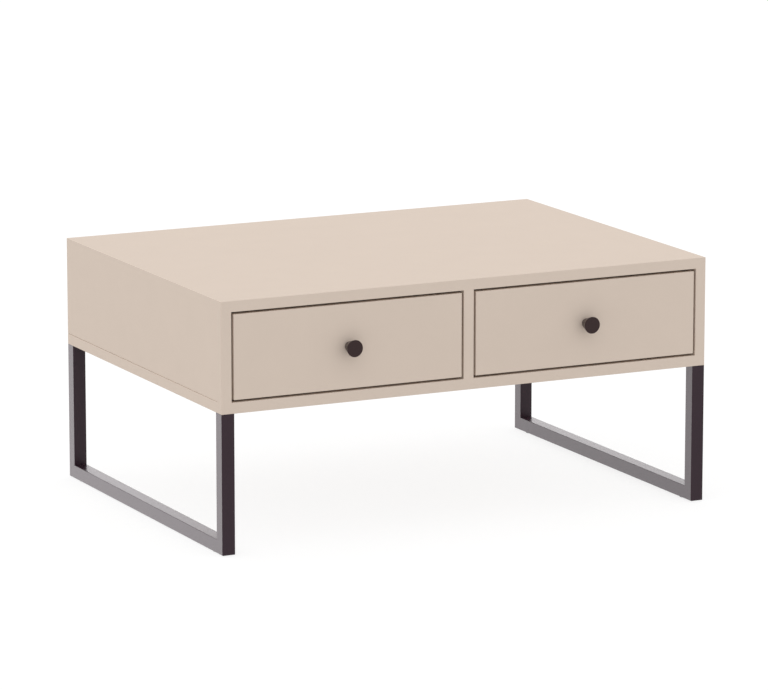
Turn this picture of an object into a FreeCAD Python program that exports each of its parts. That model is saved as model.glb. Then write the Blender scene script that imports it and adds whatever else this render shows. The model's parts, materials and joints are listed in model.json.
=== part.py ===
import FreeCAD, Part
import os

# A low coffee table of coated board: a mitred carcass with two inset drawers on ball runners,
# carried by two sled frames of square steel tube.
# Lengths are in millimetres. +X runs to the right, +Y to the back and +Z up. The origin is on
# the floor, under the middle of the whole width and of the whole depth, knobs included.

# Carcass
carcass_width = 980.0
carcass_depth = 704.0
carcass_height = 203.0
underside_height = 258.0
board = 20.0
back_board = 16.0
edge_round = 0.6
seam_round = 1.6
seam_slit = 0.3
seam_front_stop = 18.0

# Splines in the mitres
spline_thickness = 4.0
spline_reach = 7.0
spline_end_inset = 60.0

# Dowels
dowel_diameter = 8.0
dowel_face_depth = 12.0
dowel_edge_depth = 18.0
dowel_chamfer = 1.0
dowel_end_inset = 45.0
dowel_row_count = 3
back_dowel_inset = 40.0

# Cam locks and their bolts
cam_diameter = 15.0
cam_depth = 12.0
cam_axis_depth = 8.0
cam_backset = 24.0
cam_slot_width = 1.6
cam_slot_depth = 2.0
cam_end_inset = 110.0
bolt_diameter = 6.0
bolt_neck_diameter = 3.6
bolt_head_length = 3.0
bolt_thread_depth = 11.0

# Confirmat screws, driven up through the bottom panel
confirmat_head_diameter = 9.5
confirmat_head_height = 3.0
confirmat_shank_diameter = 7.0
confirmat_thread_diameter = 5.0
confirmat_edge_depth = 29.0
confirmat_sink = 0.4
confirmat_socket = 4.0
confirmat_socket_depth = 2.4
divider_confirmat_inset = 150.0
back_confirmat_inset = 120.0
back_confirmat_count = 4

# Sled frames
tube = 25.0
tube_wall = 1.5
tube_corner = 1.0
strip_width = 40.0
strip_thickness = 3.0
strip_inset = 8.0
frame_screw_count = 5
frame_screw_end_inset = 30.0
frame_screw_diameter = 4.5
frame_screw_head_diameter = 9.0
frame_screw_head_height = 2.6
frame_screw_depth = 13.0

# Glides under the floor bars
glide_height = 2.0
glide_edge = 2.5
glide_chamfer = 0.6
glide_stem_diameter = 8.0
glide_stem_length = 9.0
glide_end_inset = 45.0

# Drawer fronts and boxes
front_board = 18.0
front_gap = 4.4
box_board = 16.0
box_height = 110.0
box_lift = 14.0
bottom_sheet = 3.0
bottom_groove_lift = 10.0
bottom_groove_depth = 8.0
sheet_fit = 0.15
box_cam_inset = 28.0
back_screw_inset = 24.0
back_screw_diameter = 4.0
back_screw_head_diameter = 8.0
back_screw_head_depth = 2.4
back_screw_grip = 22.0

# Knobs and their screws
knob_reach = 25.0
knob_face_diameter = 31.0
knob_base_diameter = 17.0
knob_rim = 1.0
knob_edge = 0.5
knob_screw_diameter = 4.0
knob_screw_head_diameter = 8.0
knob_screw_head_height = 2.6
knob_screw_grip = 12.0

# Ball runners. A runner is as long as the bay takes, in whole steps.
runner_step = 50.0
runner_setback = 3.0
runner_rear_clearance = 20.0
runner_thickness = 12.7
runner_height = 45.0
rail_sheet = 1.2
rail_gap = 0.6
cabinet_flange = 9.5
middle_flange = 10.5
drawer_flange = 8.7
ball_diameter = 3.4
ball_offset = 6.75
race_depth = 0.45
race_clearance = 0.05
cage_sheet = 0.6
cage_width = 5.0
cage_end_gap = 6.0
cage_length_share = 0.5
cage_hole_clearance = 0.1
ball_count = 8
rail_screw_inset = 37.0
rail_screw_stagger = 16.0
rail_screw_diameter = 3.5
rail_screw_head_diameter = 6.6
rail_screw_head_depth = 1.8
rail_screw_length = 11.0
rail_screw_count = 3

# Fits and cuts
bore_fit = 0.1
bore_end_gap = 0.5
cut_overrun = 5.0
driver_width_share = 0.16
driver_depth_share = 0.5
head_crown_share = 0.6
parallel_share = 0.99

# Planes that follow from the sizes above
half_width = carcass_width / 2
front_plane = (knob_reach - carcass_depth) / 2
rear_plane = front_plane + carcass_depth
middle_plane = (front_plane + rear_plane) / 2
top_face = underside_height + carcass_height
bay_floor = underside_height + board
bay_ceiling = top_face - board
bay_rear = rear_plane - back_board
front_rear = front_plane + front_board
box_low = bay_floor + box_lift
box_high = box_low + box_height
rail_start = front_rear + runner_setback
rail_centre = box_low + box_height / 2
runner_steps = int((bay_rear - runner_rear_clearance - rail_start) / runner_step)
runner_length = runner_step * runner_steps
box_rear = rail_start + runner_length
box_back_face = box_rear - box_board
ball_gap = ball_diameter - 2 * race_depth
cabinet_rise = runner_height / 2
middle_rise = cabinet_rise - rail_sheet - ball_gap
drawer_rise = middle_rise - rail_sheet - ball_gap
outer_race_rise = cabinet_rise - rail_sheet - ball_gap / 2
inner_race_rise = middle_rise - rail_sheet - ball_gap / 2
rail_screw_sizes = (rail_screw_diameter, rail_screw_head_diameter, rail_screw_head_depth, rail_screw_length)

Vector = FreeCAD.Vector
RIGHT = Vector(1, 0, 0)
BACK = Vector(0, 1, 0)
UP = Vector(0, 0, 1)
SIDES = (("left", -1), ("right", 1))


# Shape helpers

def box(x_pair, y_pair, z_pair):
    pairs = (x_pair, y_pair, z_pair)
    corner = Vector(*[min(pair) for pair in pairs])
    return Part.makeBox(*[max(pair) - min(pair) for pair in pairs], corner)


def prism(points, along):
    return Part.Face(Part.makePolygon(points + points[:1])).extrude(along)


def turned(outline):
    """Turns an outline of (radius, height) points about the vertical."""
    points = [Vector(radius, 0, height) for radius, height in outline]
    return Part.Face(Part.makePolygon(points + points[:1])).revolve(Vector(), UP, 360)


def placed(shape, point, direction):
    """Moves a shape that was built upwards from the origin to a point and a direction."""
    copy = shape.copy()
    copy.Placement = FreeCAD.Placement(point, FreeCAD.Rotation(UP, direction)).multiply(shape.Placement)
    return copy


def carved(solid, tools):
    """Cuts the tools away and gives the one solid that is left."""
    result, = solid.cut(tools).Solids
    return result


def edges_along(shape, axis):
    return [edge for edge in shape.Edges
            if abs(edge.tangentAt(edge.FirstParameter).dot(axis)) > parallel_share]


def spread(low, high, count):
    return [low + (high - low) * step / (count - 1) for step in range(count)]


# Fasteners, built upwards from the outer face of the head or from the end that goes in last

def driver_cross(diameter, depth):
    """Cross recess of a screw head."""
    half_length = diameter * head_crown_share / 2
    half_width_of_slot = diameter * driver_width_share / 2
    bars = [box((-along, along), (-across, across), (-depth, depth))
            for along, across in ((half_length, half_width_of_slot), (half_width_of_slot, half_length))]
    return bars


def countersunk_screw(diameter, head_diameter, head_depth, length, fit=0.0):
    radius = diameter / 2 + fit
    return turned([(0, 0), (head_diameter / 2 + fit, 0), (radius, head_depth + fit),
                   (radius, length + fit - radius), (0, length + fit)])


def driven_screw(diameter, head_diameter, head_depth, length):
    screw = countersunk_screw(diameter, head_diameter, head_depth, length)
    return carved(screw, driver_cross(head_diameter, head_depth * driver_depth_share))


def pan_head_screw(diameter, head_diameter, head_height, length):
    """Screw whose head lies outside its seat, which is at height zero."""
    radius = diameter / 2
    crown = head_diameter * head_crown_share / 2
    screw = turned([(0, -head_height), (crown, -head_height), (head_diameter / 2, -head_height / 2),
                    (head_diameter / 2, 0), (radius, 0), (radius, length - radius), (0, length)])
    cross = driver_cross(head_diameter, head_height * driver_depth_share)
    return carved(screw, [placed(bar, Vector(0, 0, -head_height), UP) for bar in cross])


def plain_bore(diameter, length):
    """Bore for a shank, run out through the seat of the head."""
    cutter = Part.makeCylinder(diameter / 2 + bore_fit, length + bore_fit + cut_overrun)
    cutter.translate(Vector(0, 0, -cut_overrun))
    return cutter


def confirmat_screw():
    head, shank, thread = (size / 2 for size in (confirmat_head_diameter, confirmat_shank_diameter,
                                                 confirmat_thread_diameter))
    joint = board - confirmat_sink
    screw = turned([(0, 0), (head, 0), (head, confirmat_head_height), (shank, confirmat_head_height),
                    (shank, joint), (thread, joint), (thread, joint + confirmat_edge_depth - thread),
                    (0, joint + confirmat_edge_depth)])
    socket = Part.makeCylinder(confirmat_socket / 2, confirmat_socket_depth + cut_overrun)
    socket.translate(Vector(0, 0, -cut_overrun))
    return carved(screw, [socket])


def confirmat_bore():
    head, shank = confirmat_head_diameter / 2 + bore_fit, confirmat_shank_diameter / 2 + bore_fit
    thread = confirmat_thread_diameter / 2 + bore_fit
    joint = board - confirmat_sink
    end = joint + confirmat_edge_depth + bore_end_gap
    return turned([(0, -cut_overrun), (head, -cut_overrun), (head, confirmat_head_height),
                   (shank, confirmat_head_height), (shank, joint), (thread, joint), (thread, end), (0, end)])


def dowel(fit=0.0, end_gap=0.0):
    """Dowel whose joint plane is at height zero, with its edge end up."""
    radius = dowel_diameter / 2 + fit
    low, high = -dowel_face_depth - end_gap, dowel_edge_depth + end_gap
    inner = radius - dowel_chamfer
    return turned([(0, low), (inner, low), (radius, low + dowel_chamfer), (radius, high - dowel_chamfer),
                   (inner, high), (0, high)])


def cam_bolt():
    """Bolt whose joint plane is at height zero, with its head in the cam above."""
    radius, neck = bolt_diameter / 2, bolt_neck_diameter / 2
    neck_start = cam_backset - cam_diameter / 2
    head_low, head_high = cam_backset - bolt_head_length / 2, cam_backset + bolt_head_length / 2
    return turned([(0, -bolt_thread_depth), (radius, -bolt_thread_depth), (radius, neck_start),
                   (neck, neck_start), (neck, head_low), (radius, head_low), (radius, head_high),
                   (0, head_high)])


def cam_bolt_bore():
    low = -bolt_thread_depth - bore_end_gap
    high = cam_backset + bolt_head_length / 2 + bore_end_gap
    cutter = Part.makeCylinder(bolt_diameter / 2 + bore_fit, high - low)
    cutter.translate(Vector(0, 0, low))
    return cutter


def cam_lock():
    """Cam with its driver slot, built downwards from the board face at height zero."""
    body = Part.makeCylinder(cam_diameter / 2, cam_depth)
    body.translate(Vector(0, 0, -cam_depth))
    half_slot = cam_slot_width / 2
    half_length = cam_diameter * head_crown_share / 2
    slot = box((-half_length, half_length), (-half_slot, half_slot), (-cam_slot_depth, cam_slot_depth))
    return carved(body, [slot])


def cam_pocket():
    pocket = Part.makeCylinder(cam_diameter / 2 + bore_fit, cam_depth + bore_fit + cut_overrun)
    pocket.translate(Vector(0, 0, -cam_depth - bore_fit))
    return pocket


def cam_joint(joint, into_edge, face_normal):
    """Cam, bolt and bores of one joint. The board face with the cam looks along face_normal."""
    bore = placed(cam_bolt_bore(), joint, into_edge)
    face_point = joint + into_edge * cam_backset + face_normal * cam_axis_depth
    cam = carved(placed(cam_lock(), face_point, face_normal), [bore])
    bolt = placed(cam_bolt(), joint, into_edge)
    return cam, bolt, [bore, placed(cam_pocket(), face_point, face_normal)]


# Carcass

def bay_span(side):
    """Left and right wall of a drawer bay."""
    walls = (side * (half_width - board), side * board / 2)
    return min(walls), max(walls)


def outer_block():
    """Whole carcass block with its outer edges rounded."""
    block = box((-half_width, half_width), (front_plane, rear_plane), (underside_height, top_face))
    return block.makeFillet(edge_round, block.Edges)


def rectangle(x_pair, z_pair, y, grow):
    x_low, x_high = x_pair[0] - grow, x_pair[1] + grow
    z_low, z_high = z_pair[0] - grow, z_pair[1] + grow
    corners = [Vector(x_low, y, z_low), Vector(x_high, y, z_low), Vector(x_high, y, z_high),
               Vector(x_low, y, z_high)]
    return Part.makePolygon(corners + corners[:1])


def bay_mouth(side):
    """Bevel that breaks the board edges around a drawer bay."""
    opening = (bay_span(side), (bay_floor, bay_ceiling))
    wires = [rectangle(*opening, front_plane - cut_overrun, edge_round + cut_overrun),
             rectangle(*opening, front_plane + edge_round, 0)]
    return Part.makeLoft(wires, True, True)


def seam(side):
    """Groove between the rounded edges of a side panel and the bottom panel, stopped short of the front."""
    outer = side * half_width
    inner = outer - side * seam_round
    start, end = front_plane + seam_front_stop, rear_plane + cut_overrun
    half_mouth = seam_slit / 2 + seam_round
    groove = box((inner, outer + side * cut_overrun), (start, end),
                 (bay_floor - half_mouth, bay_floor + half_mouth))
    rounds = [Part.makeCylinder(seam_round, end - start, Vector(inner, start, bay_floor + rise), BACK)
              for rise in (-half_mouth, half_mouth)]
    return carved(groove, rounds)


def mitre_spline(side, fit=0.0):
    thickness, reach = spline_thickness / 2 + fit, spline_reach + fit
    half_length = carcass_depth / 2 - spline_end_inset + fit
    strip = box((-thickness, thickness), (-half_length, half_length), (-reach, reach))
    centre = Vector(side * (half_width - board / 2), middle_plane, top_face - board / 2)
    strip.Placement = FreeCAD.Placement(centre, FreeCAD.Rotation(BACK, -side * 45))
    return strip


def carcass_dowel_places():
    """Joint point and direction into the edge board, for each dowel of the carcass."""
    along = spread(front_plane + dowel_end_inset, rear_plane - dowel_end_inset, dowel_row_count)
    under_divider = spread(front_plane + dowel_end_inset, bay_rear - dowel_end_inset, dowel_row_count)
    up_back = (bay_floor + back_dowel_inset, bay_ceiling - back_dowel_inset)
    back_middle = rear_plane - back_board / 2
    places = []
    for _, side in SIDES:
        inner_face = side * (half_width - board)
        places += [(Vector(side * (half_width - board / 2), y, bay_floor), UP) for y in along]
        places += [(Vector(inner_face, back_middle, z), RIGHT * -side) for z in up_back]
    places += [(Vector(0, y, bay_floor), UP) for y in under_divider]
    places += [(Vector(0, y, bay_ceiling), -UP) for y in under_divider]
    places += [(Vector(0, bay_rear, z), -BACK) for z in up_back]
    return places


def carcass_cam_joints():
    places = (front_plane + cam_end_inset, rear_plane - cam_end_inset)
    joints = []
    for _, side in SIDES:
        bolt_x = side * (half_width - board + cam_axis_depth)
        joints += [cam_joint(Vector(bolt_x, y, bay_floor), UP, RIGHT * -side) for y in places]
    return joints


def confirmat_places():
    head_level = underside_height + confirmat_sink
    divider_row = (front_plane + divider_confirmat_inset, bay_rear - divider_confirmat_inset)
    back_reach = half_width - back_confirmat_inset
    back_row = spread(-back_reach, back_reach, back_confirmat_count)
    back_middle = rear_plane - back_board / 2
    places = [Vector(0, y, head_level) for y in divider_row]
    return places + [Vector(x, back_middle, head_level) for x in back_row]


def frame_screw_places():
    low, high = front_plane + tube + frame_screw_end_inset, rear_plane - tube - frame_screw_end_inset
    x = half_width - strip_inset - strip_width / 2
    return [Vector(side * x, y, underside_height - strip_thickness)
            for _, side in SIDES for y in spread(low, high, frame_screw_count)]


def cabinet_rail_screw_places():
    """Head centre and driving direction of each screw that holds a cabinet rail."""
    places = []
    for _, side in SIDES:
        for wall, toward in zip(bay_span(side), (1, -1)):
            stagger = rail_screw_stagger if toward > 0 else 0.0
            x = wall + toward * rail_sheet
            places += [(Vector(x, y + stagger, rail_centre), RIGHT * -toward) for y in rail_screw_row()]
    return places


def carcass_boards():
    """Sharp-edged boards of the carcass, before they are bored."""
    depth_pair = (front_plane, rear_plane)
    inner = half_width - board
    along = BACK * carcass_depth
    top_outline = ((-half_width, top_face), (half_width, top_face), (inner, bay_ceiling),
                   (-inner, bay_ceiling))
    boards = {"top_panel": prism([Vector(x, front_plane, z) for x, z in top_outline], along),
              "bottom_panel": box((-half_width, half_width), depth_pair, (underside_height, bay_floor))}
    for name, side in SIDES:
        outline = ((side * half_width, bay_floor), (side * inner, bay_floor), (side * inner, bay_ceiling),
                   (side * half_width, top_face))
        boards[name + "_side_panel"] = prism([Vector(x, front_plane, z) for x, z in outline], along)
    boards["centre_divider"] = box((-board / 2, board / 2), (front_plane, bay_rear),
                                   (bay_floor, bay_ceiling))
    return boards


def back_panel():
    panel = box((board - half_width, half_width - board), (bay_rear, rear_plane), (bay_floor, bay_ceiling))
    rear_edges = [edge for edge in panel.Edges if edge.BoundBox.YMin > rear_plane - edge_round]
    return panel.makeFillet(edge_round, rear_edges)


def carcass_nodes():
    dowels = carcass_dowel_places()
    cams = carcass_cam_joints()
    confirmats = confirmat_places()
    rail_screws = cabinet_rail_screw_places()
    frame_screws = frame_screw_places()
    frame_screw_length = strip_thickness + frame_screw_depth

    bores = [placed(dowel(bore_fit, bore_end_gap), *place) for place in dowels]
    bores += [bore for joint in cams for bore in joint[2]]
    bores += [placed(confirmat_bore(), point, UP) for point in confirmats]
    bores += [placed(countersunk_screw(*rail_screw_sizes, bore_fit), *place) for place in rail_screws]
    bores += [placed(plain_bore(frame_screw_diameter, frame_screw_length), point, UP)
              for point in frame_screws]
    bores += [mitre_spline(side, bore_fit) for _, side in SIDES]
    mouths = [bay_mouth(side) for _, side in SIDES]
    seams = [seam(side) for _, side in SIDES]

    block = outer_block()
    nodes = {name: carved(raw.common(block), bores + mouths + seams)
             for name, raw in carcass_boards().items()}
    nodes["back_panel"] = carved(back_panel(), bores)
    groups = {
        "mitre_splines": [mitre_spline(side) for _, side in SIDES],
        "carcass_dowels": [placed(dowel(), *place) for place in dowels],
        "carcass_cam_locks": [joint[0] for joint in cams],
        "carcass_cam_bolts": [joint[1] for joint in cams],
        "carcass_confirmat_screws": [placed(confirmat_screw(), point, UP) for point in confirmats],
        "cabinet_rail_screws": [placed(driven_screw(*rail_screw_sizes), *place) for place in rail_screws],
        "frame_screws": [placed(pan_head_screw(frame_screw_diameter, frame_screw_head_diameter,
                                               frame_screw_head_height, frame_screw_length), point, UP)
                         for point in frame_screws]}
    nodes.update({name: Part.makeCompound(solids) for name, solids in groups.items()})
    return nodes


# Sled frames

def hollow_tube(x_pair, y_pair, z_pair, axis):
    """Square tube with rounded corners along its axis, open at both ends."""
    outer = box(x_pair, y_pair, z_pair)
    outer = outer.makeFillet(tube_corner, edges_along(outer, axis))
    bore_pairs = []
    for pair, direction in zip((x_pair, y_pair, z_pair), (RIGHT, BACK, UP)):
        shrink = -cut_overrun if direction == axis else tube_wall
        bore_pairs.append((min(pair) + shrink, max(pair) - shrink))
    return carved(outer, [box(*bore_pairs)])


def mitred(shape, x_pair, outline):
    """Keeps the stretch of a tube inside an outline of (depth, height) points."""
    points = [Vector(min(x_pair), y, z) for y, z in outline]
    kept, = shape.common(prism(points, RIGHT * tube)).Solids
    return kept


def frame_post(side, end_plane, inward):
    x_pair = (side * (half_width - tube), side * half_width)
    inner_plane = end_plane + inward * tube
    shell = hollow_tube(x_pair, (end_plane, inner_plane), (glide_height, underside_height), UP)
    outline = [(end_plane, glide_height), (inner_plane, glide_height + tube),
               (inner_plane, underside_height), (end_plane, underside_height)]
    return mitred(shell, x_pair, outline)


def glide_places(side):
    x = side * (half_width - tube / 2)
    return [Vector(x, y, 0) for y in (front_plane + glide_end_inset, rear_plane - glide_end_inset)]


def floor_bar(side):
    x_pair = (side * (half_width - tube), side * half_width)
    shell = hollow_tube(x_pair, (front_plane, rear_plane), (glide_height, glide_height + tube), BACK)
    outline = [(front_plane, glide_height), (rear_plane, glide_height),
               (rear_plane - tube, glide_height + tube), (front_plane + tube, glide_height + tube)]
    stem_bore = plain_bore(glide_stem_diameter, glide_height + tube_wall)
    bores = [placed(stem_bore, point, UP) for point in glide_places(side)]
    return carved(mitred(shell, x_pair, outline), bores)


def floor_glide():
    radius, stem = tube / 2 - glide_edge, glide_stem_diameter / 2
    stem_top = glide_height + glide_stem_length
    return turned([(0, 0), (radius - glide_chamfer, 0), (radius, glide_chamfer), (radius, glide_height),
                   (stem, glide_height), (stem, stem_top), (0, stem_top)])


def mounting_strip(side):
    edge = half_width - strip_inset
    strip = box((side * edge, side * (edge - strip_width)), (front_plane + tube, rear_plane - tube),
                (underside_height - strip_thickness, underside_height))
    bore = plain_bore(frame_screw_diameter, strip_thickness + cut_overrun)
    return carved(strip, [placed(bore, point, UP) for point in frame_screw_places()])


def frame_nodes():
    nodes = {}
    for name, side in SIDES:
        nodes[name + "_frame_front_post"] = frame_post(side, front_plane, 1)
        nodes[name + "_frame_rear_post"] = frame_post(side, rear_plane, -1)
        nodes[name + "_frame_floor_bar"] = floor_bar(side)
        nodes[name + "_frame_mounting_strip"] = mounting_strip(side)
    glides = [placed(floor_glide(), point, UP) for _, side in SIDES for point in glide_places(side)]
    nodes["floor_glides"] = Part.makeCompound(glides)
    return nodes


# Ball runners. Across a runner, out is the distance from the bay wall and rise is from its middle.

def rail_screw_row():
    last = box_rear - rail_screw_inset - rail_screw_stagger
    return spread(rail_start + rail_screw_inset, last, rail_screw_count)


def channel(wall, toward, web, lip, rise):
    """Folded channel whose web is at one distance from the wall and whose lips end at another."""
    inner_web = web + (rail_sheet if lip > web else -rail_sheet)
    inner_rise = rise - rail_sheet
    outline = ((web, -rise), (lip, -rise), (lip, -inner_rise), (inner_web, -inner_rise),
               (inner_web, inner_rise), (lip, inner_rise), (lip, rise), (web, rise))
    points = [Vector(wall + toward * out, rail_start, rail_centre + height) for out, height in outline]
    return prism(points, BACK * runner_length)


def races(wall, toward, rise):
    """Ball races, upper and lower, at one distance from the middle of the runner."""
    radius = ball_diameter / 2 + race_clearance
    x, y = wall + toward * ball_offset, rail_start - cut_overrun
    length = runner_length + 2 * cut_overrun
    return [Part.makeCylinder(radius, length, Vector(x, y, rail_centre + way * rise), BACK)
            for way in (-1, 1)]


def cabinet_rail(wall, toward, screw_bores):
    blank = channel(wall, toward, 0, cabinet_flange, cabinet_rise)
    return carved(blank, races(wall, toward, outer_race_rise) + screw_bores)


def middle_rail(wall, toward):
    blank = channel(wall, toward, rail_sheet + rail_gap, middle_flange, middle_rise)
    return carved(blank, races(wall, toward, outer_race_rise) + races(wall, toward, inner_race_rise))


def drawer_rail(wall, toward, screw_bores):
    blank = channel(wall, toward, runner_thickness, runner_thickness - drawer_flange, drawer_rise)
    return carved(blank, races(wall, toward, inner_race_rise) + screw_bores)


def ball_cage(wall, toward, rise):
    """Perforated strip with its row of balls, midway along the runner."""
    middle = (rail_start + box_rear) / 2
    half_length = runner_length * cage_length_share / 2 - cage_end_gap
    low, high = middle - half_length, middle + half_length
    x, z = wall + toward * ball_offset, rail_centre + rise
    half_sheet, half_cage = cage_sheet / 2, cage_width / 2
    radius = ball_diameter / 2
    rows = spread(low + cage_width, high - cage_width, ball_count)
    strip = box((x - half_cage, x + half_cage), (low, high), (z - half_sheet, z + half_sheet))
    holes = [Part.makeCylinder(radius + cage_hole_clearance, 2 * radius, Vector(x, y, z - radius))
             for y in rows]
    return [carved(strip, holes)] + [Part.makeSphere(radius, Vector(x, y, z)) for y in rows]


def ball_cages(side, rise):
    solids = []
    for wall, toward in zip(bay_span(side), (1, -1)):
        for way in (-1, 1):
            solids += ball_cage(wall, toward, way * rise)
    return Part.makeCompound(solids)


def runner_nodes(drawer, side):
    """Rails and cages that stay on the carcass or ride between it and the drawer."""
    bores = [placed(countersunk_screw(*rail_screw_sizes, bore_fit), *place)
             for place in cabinet_rail_screw_places()]
    nodes = {}
    for hand, wall, toward in zip(("left", "right"), bay_span(side), (1, -1)):
        nodes[f"{drawer}_{hand}_cabinet_rail"] = cabinet_rail(wall, toward, bores)
        nodes[f"{drawer}_{hand}_middle_rail"] = middle_rail(wall, toward)
    nodes[drawer + "_outer_ball_cages"] = ball_cages(side, outer_race_rise)
    nodes[drawer + "_inner_ball_cages"] = ball_cages(side, inner_race_rise)
    return nodes


# Drawers

def drawer_front(side):
    low, high = bay_span(side)
    front = box((low + front_gap, high - front_gap), (front_plane, front_rear),
                (bay_floor + front_gap, bay_ceiling - front_gap))
    show_edges = [edge for edge in front.Edges if edge.BoundBox.YMax < front_plane + edge_round]
    return front.makeFillet(edge_round, show_edges)


def box_side(wall, toward):
    face = wall + toward * runner_thickness
    return box((face, face + toward * box_board), (front_rear, box_rear), (box_low, box_high))


def box_inside(side):
    low, high = bay_span(side)
    margin = runner_thickness + box_board
    return low + margin, high - margin


def bottom_board(side, fit=0.0):
    """Sheet that lies in the grooves of the box, or with a fit the groove itself."""
    low, high = box_inside(side)
    tongue = bottom_groove_depth - sheet_fit + fit
    level = box_low + bottom_groove_lift
    return box((low - tongue, high + tongue), (front_rear - tongue, box_back_face + tongue),
               (level - fit, level + bottom_sheet + fit))


def knob_centre(side):
    low, high = bay_span(side)
    return Vector((low + high) / 2, front_plane, (bay_floor + bay_ceiling) / 2)


def knob():
    face, base = knob_face_diameter / 2, knob_base_diameter / 2
    body = turned([(0, 0), (base, 0), (face, knob_reach - knob_rim), (face, knob_reach), (0, knob_reach)])
    face_edge = [edge for edge in body.Edges if edge.BoundBox.ZMin > knob_reach - knob_rim / 2]
    body = body.makeFillet(knob_edge, face_edge)
    return carved(body, [plain_bore(knob_screw_diameter, knob_screw_grip)])


def box_cam_joints(side):
    joints = []
    heights = (box_low + box_cam_inset, box_high - box_cam_inset)
    for inner_face, toward in zip(box_inside(side), (1, -1)):
        bolt_x = inner_face - toward * cam_axis_depth
        joints += [cam_joint(Vector(bolt_x, front_rear, z), BACK, RIGHT * toward) for z in heights]
    return joints


def back_screw_places(side):
    places = []
    heights = (box_low + back_screw_inset, box_high - back_screw_inset)
    for wall, toward in zip(bay_span(side), (1, -1)):
        outer_face = wall + toward * runner_thickness
        y = box_rear - box_board / 2
        places += [(Vector(outer_face, y, z), RIGHT * toward) for z in heights]
    return places


def drawer_rail_screw_places(side):
    return [(Vector(wall + toward * (runner_thickness - rail_sheet), y, rail_centre), RIGHT * toward)
            for wall, toward in zip(bay_span(side), (1, -1)) for y in rail_screw_row()]


def drawer_nodes(drawer, side):
    cams = box_cam_joints(side)
    back_screws = back_screw_places(side)
    rail_screws = drawer_rail_screw_places(side)
    back_screw_sizes = (back_screw_diameter, back_screw_head_diameter, back_screw_head_depth,
                        box_board + back_screw_grip)
    knob_screw_length = front_board + knob_screw_grip - bore_end_gap
    seat = knob_centre(side) + BACK * front_board

    rail_bores = [placed(countersunk_screw(*rail_screw_sizes, bore_fit), *place) for place in rail_screws]
    bores = rail_bores + [bore for joint in cams for bore in joint[2]]
    bores += [placed(countersunk_screw(*back_screw_sizes, bore_fit), *place) for place in back_screws]
    bores.append(bottom_board(side, sheet_fit))
    bores.append(placed(plain_bore(knob_screw_diameter, front_board), seat, -BACK))

    nodes = {drawer + "_front": carved(drawer_front(side), bores)}
    inside = box_inside(side)
    for hand, wall, toward in zip(("left", "right"), bay_span(side), (1, -1)):
        nodes[f"{drawer}_{hand}_side"] = carved(box_side(wall, toward), bores)
        nodes[f"{drawer}_{hand}_drawer_rail"] = drawer_rail(wall, toward, rail_bores)
    nodes[drawer + "_back"] = carved(box(inside, (box_back_face, box_rear), (box_low, box_high)), bores)
    nodes[drawer + "_bottom"] = bottom_board(side)
    nodes[drawer + "_knob"] = placed(knob(), knob_centre(side), -BACK)
    knob_screw = pan_head_screw(knob_screw_diameter, knob_screw_head_diameter, knob_screw_head_height,
                                knob_screw_length)
    nodes[drawer + "_knob_screw"] = placed(knob_screw, seat, -BACK)
    groups = {"_cam_locks": [joint[0] for joint in cams],
              "_cam_bolts": [joint[1] for joint in cams],
              "_back_screws": [placed(driven_screw(*back_screw_sizes), *place) for place in back_screws],
              "_rail_screws": [placed(driven_screw(*rail_screw_sizes), *place) for place in rail_screws]}
    nodes.update({drawer + name: Part.makeCompound(solids) for name, solids in groups.items()})
    return nodes


nodes = {**carcass_nodes(), **frame_nodes()}
for name, side in SIDES:
    nodes.update(runner_nodes(name + "_drawer", side))
    nodes.update(drawer_nodes(name + "_drawer", side))

os.makedirs("parts", exist_ok=True)
for name, shape in nodes.items():
    shape.exportStep(f"parts/{name}.step")
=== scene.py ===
import json
import math

import bmesh
import bpy
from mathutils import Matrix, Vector


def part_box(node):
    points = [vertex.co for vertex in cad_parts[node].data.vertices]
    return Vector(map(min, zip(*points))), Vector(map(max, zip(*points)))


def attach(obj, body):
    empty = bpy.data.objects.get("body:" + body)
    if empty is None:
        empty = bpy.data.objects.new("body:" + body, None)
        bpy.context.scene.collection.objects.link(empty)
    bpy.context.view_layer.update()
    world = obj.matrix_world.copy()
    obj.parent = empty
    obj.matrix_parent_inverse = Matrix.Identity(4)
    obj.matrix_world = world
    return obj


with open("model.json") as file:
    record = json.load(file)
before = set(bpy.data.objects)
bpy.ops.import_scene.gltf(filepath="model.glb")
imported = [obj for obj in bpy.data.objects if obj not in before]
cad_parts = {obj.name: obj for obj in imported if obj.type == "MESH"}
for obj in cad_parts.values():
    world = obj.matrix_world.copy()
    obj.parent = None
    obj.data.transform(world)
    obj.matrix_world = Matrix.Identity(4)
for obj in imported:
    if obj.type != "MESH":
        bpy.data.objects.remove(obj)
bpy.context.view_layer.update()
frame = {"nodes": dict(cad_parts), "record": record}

# The coffee table's finishes, its studio and its camera. Lengths are in metres, in the part's frame:
# +X runs to the right, +Y to the back and +Z up, with the floor at height zero.
# A finish's tone shares and roughness are the lowest and the highest that its texture reaches.

HANDS = ("left", "right")

# Camera
camera_place = Vector((-3.943, -8.002, 2.097))
camera_yaw = math.radians(26.2116)
camera_pitch = math.radians(11.5253)
lens_length = 228.5

# Studio
dome_strength = 0.925
background_strength = 1.0
key_strength = 0.38
key_softness = math.radians(80)
key_direction = Vector((-0.38, 0.10, 0.92))
wall_place = Vector((0, 5.0, -0.78))
wall_width = 14.0
wall_height = 5.44
wall_radiance = 2.1
floor_span = 60.0
floor_albedo = 0.8
floor_glow = 0.84
floor_shadow_albedo = 0.20
bare_metal_slots = ("zinc_steel", "bearing_steel")

# Textures. A noise stays near its middle, so its spread is narrower than zero to one.
noise_spread = (0.3, 0.7)
noise_detail = 2.0
fine_noise_detail = 3.0

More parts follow.
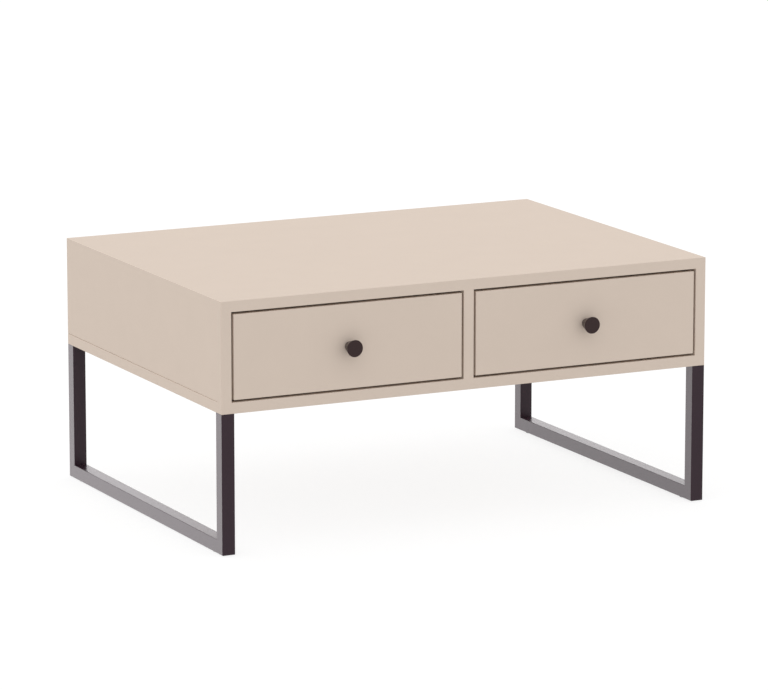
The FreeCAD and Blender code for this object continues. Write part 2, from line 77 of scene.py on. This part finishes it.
# Coated board. The band is the strip of the same colour that covers a board's cut edge.
board_specular = 0.1
board_pearl_size = 0.0007
board_mottle_size = 0.06
board_mottle_detail = 4.0
board_tone_shares = (0.993, 1.007)
board_roughness = (0.74, 0.84)
board_relief = 0.00002
band_thickness = 0.001
band_line = 0.0001
band_line_share = 0.35
band_shade_share = 0.4

# Printed linen on the drawer boxes, and the hardboard of their bottoms
linen_specular = 0.35
linen_thread = 0.0009
linen_stretch = 14.0
linen_detail = 1.0
linen_spread = (0.4, 0.6)
linen_tone_shares = (0.94, 1.03)
linen_roughness = (0.46, 0.58)
hardboard_specular = 0.4
hardboard_stretch = 3.0
hardboard_tone_shares = (0.95, 1.02)
hardboard_roughness = (0.36, 0.5)

# Powder coat
coat_specular = 0.28
coat_peel_size = 0.0013
coat_grit_size = 0.0003
coat_tone_shares = (0.85, 1.15)
coat_roughness = (0.28, 0.36)
coat_relief = 0.00004
grit_relief = coat_relief / 2

# Knobs
knob_specular = 0.25
knob_tone_shares = (0.9, 1.1)
knob_roughness = (0.22, 0.30)
turning_pitch = 0.0004
turning_relief = 0.000006

# Moulded plastic
plastic_specular = 0.45
plastic_grain_size = 0.0004
plastic_tone_shares = (0.9, 1.15)
plastic_roughness = (0.45, 0.6)
plastic_relief = 0.00003

# Bare metal
metal_specular = 0.5
drawn_line_size = 0.0004
drawn_stretch = 60.0
zinc_cloud_size = 0.004
zinc_tone_shares = (0.88, 1.08)
zinc_roughness = (0.26, 0.42)
steel_tone_shares = (0.92, 1.05)
steel_roughness = (0.12, 0.22)
metal_relief = 0.000008

# Raw wood
wood_specular = 0.3
wood_pore_size = 0.0006
wood_stretch = 12.0
wood_tone_shares = (0.78, 1.06)
wood_roughness = (0.6, 0.75)
wood_relief = 0.00002

# Weld beads where a mounting strip meets a post
bead_leg = 0.0034
bead_sink = 0.0003
bead_end_gap = 0.0012
bead_bulge_share = 0.12
bead_end_share = 0.06
bead_taper_power = 0.25
bead_ripple_pitch = 0.0021
bead_ripple_share = 0.09
bead_ripple_ring_count = 8
bead_arc_point_count = 7

# Colours, as linear red, green and blue
CASHMERE = (0.69, 0.582, 0.496)
DRAWER_BOX = (0.64, 0.60, 0.55)
HARDBOARD = (0.70, 0.67, 0.62)
BLACK_COAT = (0.029, 0.013, 0.021)
KNOB_COAT = (0.029, 0.0125, 0.0125)
ZINC = (0.62, 0.63, 0.64)
BEARING = (0.70, 0.70, 0.70)
BEECH = (0.62, 0.44, 0.26)
BLACK_PLASTIC = (0.02, 0.02, 0.02)
WALL_TINT = (1.0, 0.96, 0.98)
WHITE = (1.0, 1.0, 1.0)


# Node helpers

def rgba(colour, gain=1.0):
    return (*[channel * gain for channel in colour], 1.0)


def surface(name, colour, specular, metallic=0.0):
    """New principled material. Its plain values are set on the shader's own sockets."""
    material = bpy.data.materials.new(name)
    material.use_nodes = True
    shader = material.node_tree.nodes["Principled BSDF"]
    shader.inputs["Base Color"].default_value = rgba(colour)
    shader.inputs["Specular IOR Level"].default_value = specular
    shader.inputs["Metallic"].default_value = metallic
    return material, material.node_tree, shader


def object_place(tree, stretch=(1.0, 1.0, 1.0)):
    """Place on the piece, in metres, divided along each axis by how far the texture is drawn out."""
    place = tree.nodes.new("ShaderNodeTexCoord").outputs["Object"]
    mapping = tree.nodes.new("ShaderNodeMapping")
    mapping.inputs["Scale"].default_value = [1 / factor for factor in stretch]
    tree.links.new(place, mapping.inputs["Vector"])
    return mapping.outputs["Vector"]


def noise(tree, place, size, detail=noise_detail):
    texture = tree.nodes.new("ShaderNodeTexNoise")
    texture.inputs["Scale"].default_value = 1 / size
    texture.inputs["Detail"].default_value = detail
    tree.links.new(place, texture.inputs["Vector"])
    return texture.outputs["Fac"]


def feed(tree, term, socket):
    """Links a node's output to a socket, or sets the socket to a plain value."""
    if isinstance(term, bpy.types.NodeSocket):
        tree.links.new(term, socket)
    else:
        socket.default_value = term


def calculate(tree, operation, *terms):
    node = tree.nodes.new("ShaderNodeMath")
    node.operation = operation
    for socket, term in zip(node.inputs, terms):
        feed(tree, term, socket)
    return node.outputs["Value"]


def halfway(tree, first, second):
    return calculate(tree, "DIVIDE", calculate(tree, "ADD", first, second), 2.0)


def spread_to(tree, value, to_range, from_range=noise_spread):
    """Takes a noise from its own spread to another range of values."""
    node = tree.nodes.new("ShaderNodeMapRange")
    for kind, limits in (("From", from_range), ("To", to_range)):
        for end, limit in zip(("Min", "Max"), limits):
            node.inputs[f"{kind} {end}"].default_value = limit
    tree.links.new(value, node.inputs["Value"])
    return node.outputs["Result"]


def mix_colours(tree, factor, first, second):
    node = tree.nodes.new("ShaderNodeMix")
    node.data_type = "RGBA"
    tree.links.new(factor, node.inputs["Factor"])
    colour_inputs = [entry for entry in node.inputs if entry.type == "RGBA"]
    for socket, colour in zip(colour_inputs, (first, second)):
        feed(tree, colour, socket)
    return [entry for entry in node.outputs if entry.type == "RGBA"][0]


def vary_colour(tree, shader, value, colour, shares, from_range=noise_spread):
    """Lets a noise take the colour from its lowest to its highest share."""
    factor = spread_to(tree, value, (0.0, 1.0), from_range)
    tone = mix_colours(tree, factor, *[rgba(colour, share) for share in shares])
    tree.links.new(tone, shader.inputs["Base Color"])
    return tone


def vary_roughness(tree, shader, value, limits):
    tree.links.new(spread_to(tree, value, limits), shader.inputs["Roughness"])


def add_relief(tree, shader, height, depth):
    """Adds a bump on top of the bumps that the shader already has."""
    bump = tree.nodes.new("ShaderNodeBump")
    bump.inputs["Distance"].default_value = depth
    tree.links.new(height, bump.inputs["Height"])
    earlier = shader.inputs["Normal"].links
    if earlier:
        tree.links.new(earlier[0].from_socket, bump.inputs["Normal"])
    tree.links.new(bump.outputs["Normal"], shader.inputs["Normal"])


# Finishes

def band_mask(tree, planes):
    """One on the hairlines where a band meets the board's face. Planes are pairs of axis and place."""
    axes = tree.nodes.new("ShaderNodeSeparateXYZ")
    tree.links.new(object_place(tree), axes.inputs["Vector"])
    nearest = None
    for axis, plane in planes:
        distance = calculate(tree, "ABSOLUTE", calculate(tree, "SUBTRACT", axes.outputs[axis], plane))
        nearest = distance if nearest is None else calculate(tree, "MINIMUM", nearest, distance)
    return calculate(tree, "LESS_THAN", nearest, band_line / 2)


def coated_board(name, colour, band_planes):
    """Matte melamine: a fine pearl grain, a faint mottle and the hairlines of the edge bands."""
    material, tree, shader = surface(name, colour, board_specular)
    place = object_place(tree)
    pearl = noise(tree, place, board_pearl_size)
    mottle = noise(tree, place, board_mottle_size, board_mottle_detail)
    tone = vary_colour(tree, shader, mottle, colour, board_tone_shares)
    line = calculate(tree, "MULTIPLY", band_mask(tree, band_planes), band_line_share)
    lined = mix_colours(tree, line, tone, rgba(colour, band_shade_share))
    tree.links.new(lined, shader.inputs["Base Color"])
    vary_roughness(tree, shader, pearl, board_roughness)
    add_relief(tree, shader, pearl, board_relief)
    return material


def linen_board(name, colour):
    """Drawer-box board with a faint printed linen: threads along each axis."""
    material, tree, shader = surface(name, colour, linen_specular)
    stretches = ((linen_stretch, 1.0, 1.0), (1.0, linen_stretch, 1.0), (1.0, 1.0, linen_stretch))
    threads = [noise(tree, object_place(tree, stretch), linen_thread, linen_detail) for stretch in stretches]
    along_x, along_y, along_z = threads
    weave = halfway(tree, halfway(tree, along_x, along_y), along_z)
    vary_colour(tree, shader, weave, colour, linen_tone_shares, linen_spread)
    vary_roughness(tree, shader, weave, linen_roughness)
    add_relief(tree, shader, weave, board_relief)
    return material


def hardboard(name, colour):
    """Lacquered fibreboard with faint fibre specks."""
    material, tree, shader = surface(name, colour, hardboard_specular)
    specks = noise(tree, object_place(tree, (hardboard_stretch, 1.0, 1.0)), linen_thread, fine_noise_detail)
    vary_colour(tree, shader, specks, colour, hardboard_tone_shares)
    vary_roughness(tree, shader, specks, hardboard_roughness)
    add_relief(tree, shader, specks, board_relief)
    return material


def powder_coat(name, colour):
    """Satin powder coat: a soft orange peel with a finer grit on it."""
    material, tree, shader = surface(name, colour, coat_specular)
    place = object_place(tree)
    peel = noise(tree, place, coat_peel_size)
    grit = noise(tree, place, coat_grit_size)
    vary_colour(tree, shader, peel, colour, coat_tone_shares)
    vary_roughness(tree, shader, grit, coat_roughness)
    add_relief(tree, shader, peel, coat_relief)
    add_relief(tree, shader, grit, grit_relief)
    return material


def axis_distance(tree, place, centre):
    """Distance from the line through a centre that runs from front to back."""
    offset = tree.nodes.new("ShaderNodeVectorMath")
    offset.operation = "SUBTRACT"
    offset.inputs[1].default_value = centre
    tree.links.new(place, offset.inputs[0])
    axes = tree.nodes.new("ShaderNodeSeparateXYZ")
    tree.links.new(offset.outputs["Vector"], axes.inputs["Vector"])
    squares = [calculate(tree, "POWER", axes.outputs[axis], 2.0) for axis in ("X", "Z")]
    return calculate(tree, "SQRT", calculate(tree, "ADD", *squares))


def turned_coat(name, colour, centres):
    """Satin coat on turned knobs, with faint turning rings about each knob's axis."""
    material, tree, shader = surface(name, colour, knob_specular)
    place = object_place(tree)
    radius = None
    for centre in centres:
        distance = axis_distance(tree, place, centre)
        radius = distance if radius is None else calculate(tree, "MINIMUM", radius, distance)
    rings = calculate(tree, "SINE", calculate(tree, "MULTIPLY", radius, math.tau / turning_pitch))
    grit = noise(tree, place, coat_grit_size)
    vary_colour(tree, shader, grit, colour, knob_tone_shares)
    vary_roughness(tree, shader, grit, knob_roughness)
    add_relief(tree, shader, rings, turning_relief)
    add_relief(tree, shader, grit, grit_relief)
    return material


def drawn_lines(tree):
    """Fine lines along the direction that the steel was drawn in, from front to back."""
    return noise(tree, object_place(tree, (1.0, drawn_stretch, 1.0)), drawn_line_size)


def zinc_plate(name, colour):
    """Zinc on cold-drawn steel: soft clouds in the plating over the lines of the steel."""
    material, tree, shader = surface(name, colour, metal_specular, metallic=1.0)
    clouds = noise(tree, object_place(tree), zinc_cloud_size, fine_noise_detail)
    lines = drawn_lines(tree)
    vary_colour(tree, shader, clouds, colour, zinc_tone_shares)
    vary_roughness(tree, shader, lines, zinc_roughness)
    add_relief(tree, shader, lines, metal_relief)
    return material


def bright_steel(name, colour):
    """Bright drawn steel of the balls and their cages."""
    material, tree, shader = surface(name, colour, metal_specular, metallic=1.0)
    lines = drawn_lines(tree)
    vary_colour(tree, shader, lines, colour, steel_tone_shares)
    vary_roughness(tree, shader, lines, steel_roughness)
    add_relief(tree, shader, lines, metal_relief)
    return material


def raw_beech(name, colour):
    """Raw beech with short darker flecks."""
    material, tree, shader = surface(name, colour, wood_specular)
    flecks = noise(tree, object_place(tree, (1.0, wood_stretch, 1.0)), wood_pore_size, fine_noise_detail)
    vary_colour(tree, shader, flecks, colour, wood_tone_shares)
    vary_roughness(tree, shader, flecks, wood_roughness)
    add_relief(tree, shader, flecks, wood_relief)
    return material


def moulded_plastic(name, colour):
    """Plastic with the fine grain of its mould."""
    material, tree, shader = surface(name, colour, plastic_specular)
    grain = noise(tree, object_place(tree), plastic_grain_size)
    vary_colour(tree, shader, grain, colour, plastic_tone_shares)
    vary_roughness(tree, shader, grain, plastic_roughness)
    add_relief(tree, shader, grain, plastic_relief)
    return material


def carcass_band_planes():
    """Bands on the front and rear edges of the carcass."""
    low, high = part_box("top_panel")
    return (("Y", low.y + band_thickness), ("Y", high.y - band_thickness))


def front_band_planes(node):
    """Bands on the four edges of a drawer front."""
    low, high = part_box(node)
    return (("X", low.x + band_thickness), ("X", high.x - band_thickness),
            ("Z", low.z + band_thickness), ("Z", high.z - band_thickness))


def node_centre(node):
    low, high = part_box(node)
    return (low + high) / 2


def dress_nodes():
    """Gives every piece of the frame its finish, by the slot that it came with."""
    knob_centres = [node_centre(f"{hand}_drawer_knob") for hand in HANDS]
    finishes = {
        "cashmere_board": coated_board("cashmere_melamine", CASHMERE, carcass_band_planes()),
        "drawer_board": linen_board("drawer_box_melamine", DRAWER_BOX),
        "drawer_sheet": hardboard("lacquered_hardboard", HARDBOARD),
        "black_steel": powder_coat("black_powder_coat", BLACK_COAT),
        "knob_metal": turned_coat("knob_satin_coat", KNOB_COAT, knob_centres),
        "zinc_steel": zinc_plate("zinc_plated_steel", ZINC),
        "bearing_steel": bright_steel("bright_bearing_steel", BEARING),
        "beech": raw_beech("raw_beech_wood", BEECH),
        "glide_plastic": moulded_plastic("moulded_black_plastic", BLACK_PLASTIC)}
    for node in frame["nodes"].values():
        slot = node.material_slots[0]
        slot.material = finishes[slot.material.name]
    for hand in HANDS:
        name = f"{hand}_drawer_front"
        front = coated_board(f"cashmere_melamine_{name}", CASHMERE, front_band_planes(name))
        frame["nodes"][name].material_slots[0].material = front
    return finishes


# Weld beads

def bead_ring(x, corner, into_y, size):
    """Section of a bead in the corner under a strip: the corner itself and an arc bulging out of it."""
    sunk = Vector((x, corner.y - into_y * bead_sink, corner.z + bead_sink))
    points = [sunk]
    for step in range(bead_arc_point_count):
        angle = math.pi / 2 * step / (bead_arc_point_count - 1)
        reach = size * (1 + math.sin(2 * angle) * bead_bulge_share)
        points.append(sunk + Vector((0, into_y * math.cos(angle) * reach, -math.sin(angle) * reach)))
    return points


def weld_bead(mesh, x_low, x_high, corner, into_y):
    """Closed bead along X, rippled along its length and tapered at its ends."""
    length = x_high - x_low
    ring_count = round(length / bead_ripple_pitch) * bead_ripple_ring_count
    rings = []
    for step in range(ring_count + 1):
        share = step / ring_count
        ripple = 1 + bead_ripple_share * math.cos(math.tau * share * length / bead_ripple_pitch)
        inner_share = min(max(share, bead_end_share), 1 - bead_end_share)
        taper = math.sin(math.pi * inner_share) ** bead_taper_power
        points = bead_ring(x_low + share * length, corner, into_y, bead_leg * ripple * taper)
        rings.append([mesh.verts.new(point) for point in points])
    for near, far in zip(rings, rings[1:]):
        for index in range(len(near)):
            following = (index + 1) % len(near)
            mesh.faces.new((near[index], near[following], far[following], far[index]))
    mesh.faces.new(rings[0])
    mesh.faces.new(list(reversed(rings[-1])))


def add_object(name, data):
    added = bpy.data.objects.new(name, data)
    bpy.context.scene.collection.objects.link(added)
    return added


def mesh_object(name, mesh, material):
    """Object of a finished mesh, which is freed."""
    data = bpy.data.meshes.new(name)
    mesh.to_mesh(data)
    mesh.free()
    data.materials.append(material)
    return add_object(name, data)


def frame_welds(hand, finish):
    """Beads under one frame's mounting strip, at its front and its rear post."""
    strip_low, strip_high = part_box(f"{hand}_frame_mounting_strip")
    post_low, post_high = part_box(f"{hand}_frame_front_post")
    x_low = max(strip_low.x, post_low.x) + bead_end_gap
    x_high = min(strip_high.x, post_high.x) - bead_end_gap
    mesh = bmesh.new()
    for y, into_y in ((strip_low.y, 1), (strip_high.y, -1)):
        weld_bead(mesh, x_low, x_high, Vector((0, y, strip_low.z)), into_y)
    bmesh.ops.recalc_face_normals(mesh, faces=mesh.faces)
    welds = mesh_object(f"{hand}_frame_welds", mesh, finish)
    welds.data.shade_smooth()
    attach(welds, "table")


# Studio

def background_rays(tree):
    """One for the rays that show the background: from the camera, in gloss and through glass."""
    path = tree.nodes.new("ShaderNodeLightPath")
    rays = path.outputs["Is Camera Ray"]
    for kind in ("Is Glossy Ray", "Is Transmission Ray"):
        rays = calculate(tree, "MAXIMUM", rays, path.outputs[kind])
    return rays


def make_dome():
    """Even white light from all round, seen as plain white."""
    world = bpy.data.worlds.new("studio_dome")
    world.use_nodes = True
    bpy.context.scene.world = world
    tree = world.node_tree
    mix = tree.nodes.new("ShaderNodeMixShader")
    tree.links.new(background_rays(tree), mix.inputs["Fac"])
    for socket, strength in zip(mix.inputs[1:], (dome_strength, background_strength)):
        light = tree.nodes.new("ShaderNodeBackground")
        light.inputs["Color"].default_value = rgba(WHITE)
        light.inputs["Strength"].default_value = strength
        tree.links.new(light.outputs["Background"], socket)
    tree.links.new(mix.outputs["Shader"], tree.nodes["World Output"].inputs["Surface"])


def facing(direction):
    """Turn of a lamp whose back points in a direction."""
    return direction.to_track_quat("Z", "Y").to_euler()


def make_key():
    """Broad soft light from above and from the left."""
    data = bpy.data.lights.new("soft_key", "SUN")
    data.energy = key_strength
    data.angle = key_softness
    key = add_object("soft_key", data)
    key.rotation_euler = facing(key_direction)


def bare_metal():
    """Collection that keeps a lamp off the plated and bright steel, which would clip to white in it."""
    metal = bpy.data.collections.new("bare_metal")
    for subpart in frame["record"]["subparts"]:
        if subpart["material_slot"] in bare_metal_slots:
            metal.objects.link(frame["nodes"][subpart["node"]])
    for member in metal.collection_objects:
        member.light_linking.link_state = "EXCLUDE"
    return metal


def make_back_wall():
    """Bright wall behind the table, which shows only in the gloss of the coated pieces that reflect it."""
    data = bpy.data.lights.new("back_wall", "AREA")
    data.shape = "RECTANGLE"
    data.size = wall_width
    data.size_y = wall_height
    data.energy = wall_radiance * math.pi * wall_width * wall_height
    data.color = WALL_TINT
    wall = add_object("back_wall", data)
    wall.location = wall_place
    wall.rotation_euler = facing(Vector((0, wall_place.y, 0)))
    wall.visible_camera = False
    wall.visible_diffuse = False
    wall.light_linking.receiver_collection = bare_metal()


def diffuse(tree, albedo):
    node = tree.nodes.new("ShaderNodeBsdfDiffuse")
    node.inputs["Color"].default_value = rgba(WHITE, albedo)
    return node.outputs["BSDF"]


def floor_paint():
    """Pale paint that shows as white, and a little darker in the object's shadow."""
    material = bpy.data.materials.new("studio_floor_paint")
    material.use_nodes = True
    tree = material.node_tree
    tree.nodes.remove(tree.nodes["Principled BSDF"])
    glow = tree.nodes.new("ShaderNodeEmission")
    glow.inputs["Color"].default_value = rgba(WHITE)
    glow.inputs["Strength"].default_value = floor_glow
    seen = tree.nodes.new("ShaderNodeAddShader")
    tree.links.new(glow.outputs["Emission"], seen.inputs[0])
    tree.links.new(diffuse(tree, floor_shadow_albedo), seen.inputs[1])
    mix = tree.nodes.new("ShaderNodeMixShader")
    tree.links.new(background_rays(tree), mix.inputs["Fac"])
    tree.links.new(diffuse(tree, floor_albedo), mix.inputs[1])
    tree.links.new(seen.outputs["Shader"], mix.inputs[2])
    tree.links.new(mix.outputs["Shader"], tree.nodes["Material Output"].inputs["Surface"])
    return material


def make_floor():
    """Floor with the object's soft shadow on it, left out of what the gloss shows."""
    mesh = bmesh.new()
    bmesh.ops.create_grid(mesh, x_segments=1, y_segments=1, size=floor_span / 2)
    floor = mesh_object("studio_floor", mesh, floor_paint())
    floor.visible_glossy = False


def make_camera():
    data = bpy.data.cameras.new("studio_camera")
    data.lens = lens_length
    camera = add_object("studio_camera", data)
    camera.location = camera_place
    camera.rotation_euler = (math.pi / 2 - camera_pitch, 0, -camera_yaw)
    bpy.context.scene.camera = camera


finishes = dress_nodes()
for hand in HANDS:
    frame_welds(hand, finishes["black_steel"])
make_dome()
make_key()
make_back_wall()
make_floor()
make_camera()
bpy.context.scene.view_settings.view_transform = "Standard"
